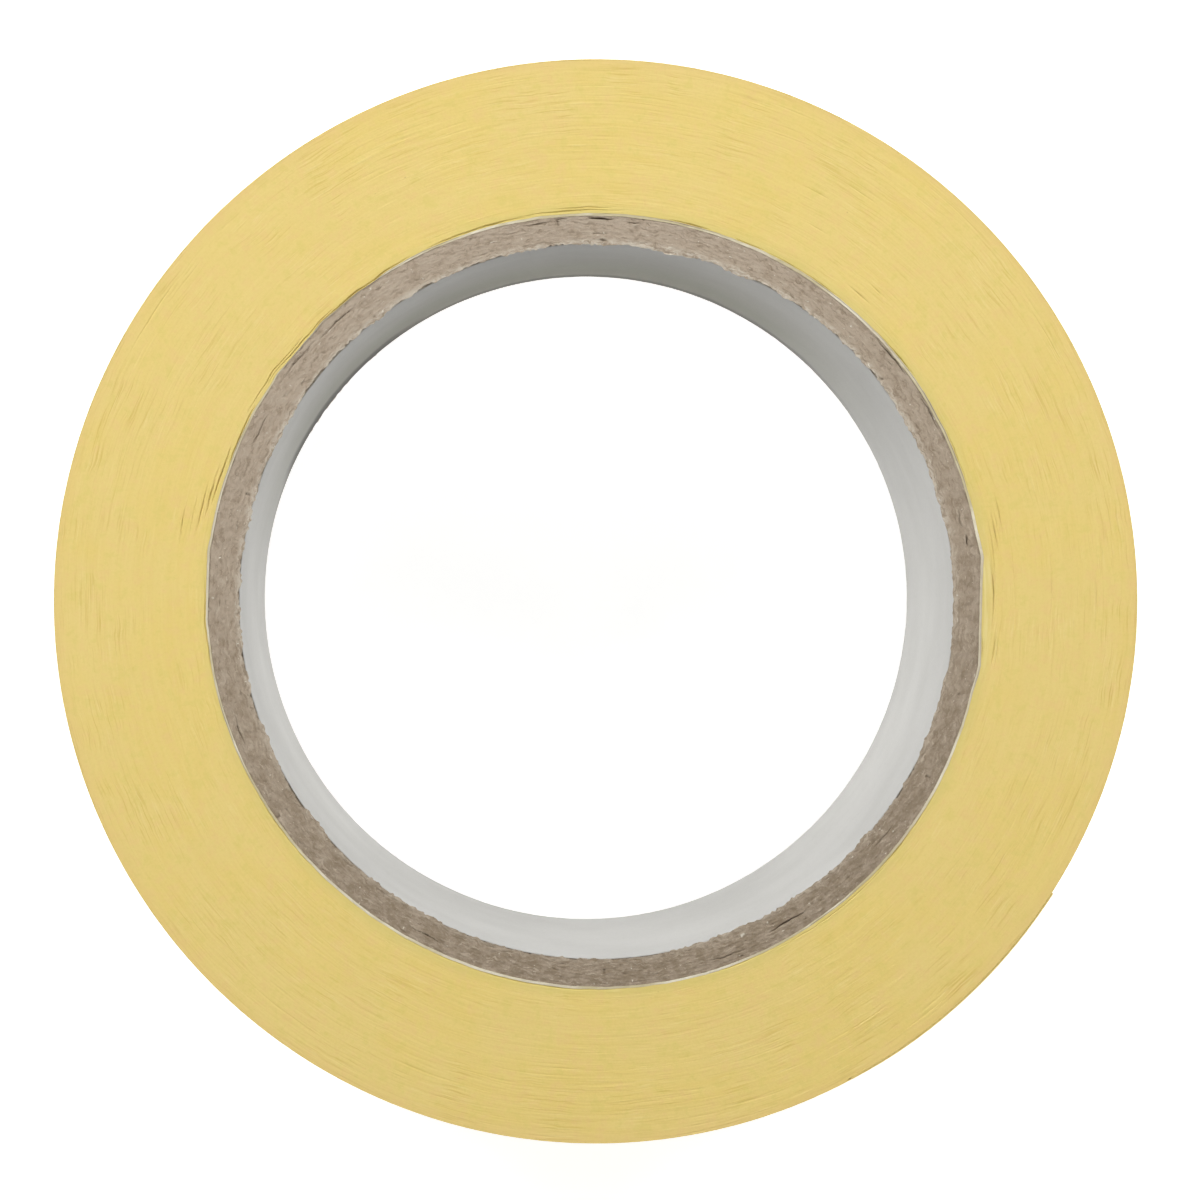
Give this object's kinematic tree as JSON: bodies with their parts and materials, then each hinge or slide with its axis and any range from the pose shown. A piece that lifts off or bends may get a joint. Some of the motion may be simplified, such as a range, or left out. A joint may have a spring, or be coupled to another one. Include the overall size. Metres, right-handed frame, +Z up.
{
  "type": "masking tape roll",
  "caption": "Roll of pale yellow crepe paper tape wound on a spiral paper core, with a short free tail that peels away from the outside.",
  "frame": {"origin": "on the roll's axis, at the face that it lies on", "axes": "+Z up along the roll's axis; the tape is wound counter-clockwise going outward seen from +Z"},
  "size_m": [0.1159, 0.1159, 0.05],
  "materials": {
    "liner_paper": "smooth uncoated white-grey paper",
    "chipboard": "rough cut grey-brown chipboard",
    "facing_paper": "uncoated off-white paper",
    "tape_paper": "latex-saturated crepe paper, satin",
    "tape_adhesive": "clear tacky rubber coat on the paper, glossy"
  },
  "bodies": {
    "roll": {"core_inner_liner": "liner_paper", "core_board_ply_1": "chipboard", "core_board_ply_2": "chipboard", "core_board_ply_3": "chipboard", "core_board_ply_4": "chipboard", "core_board_ply_5": "chipboard", "core_board_ply_6": "chipboard", "core_outer_facing": "facing_paper", "tape_first_turns": "tape_paper", "tape_wound_pack": "tape_paper", "tape_last_turn_paper": "tape_paper", "tape_last_turn_adhesive": "tape_adhesive"},
    "tail_link_1": {"tail_paper_1": "tape_paper", "tail_adhesive_1": "tape_adhesive"},
    "tail_link_2": {"tail_paper_2": "tape_paper", "tail_adhesive_2": "tape_adhesive"},
    "tail_link_3": {"tail_paper_3": "tape_paper", "tail_adhesive_3": "tape_adhesive"}
  },
  "joints": [
    {"name": "tail_peel_1", "type": "hinge", "parent": "roll", "child": "tail_link_1", "pos_m": [0.02724, -0.05119, 0.025], "axis": [0, 0, -1], "range_deg": [0, 60]},
    {"name": "tail_peel_2", "type": "hinge", "parent": "tail_link_1", "child": "tail_link_2", "pos_m": [0.03562, -0.04576, 0.025], "axis": [0, 0, -1], "range_deg": [0, 48]},
    {"name": "tail_peel_3", "type": "hinge", "parent": "tail_link_2", "child": "tail_link_3", "pos_m": [0.04295, -0.03897, 0.025], "axis": [0, 0, -1], "range_deg": [0, 36]}
  ],
  "couplings": [
    {"joint": "tail_peel_2", "follows": "tail_peel_1", "ratio": 0.8},
    {"joint": "tail_peel_3", "follows": "tail_peel_1", "ratio": 0.6}
  ]
}
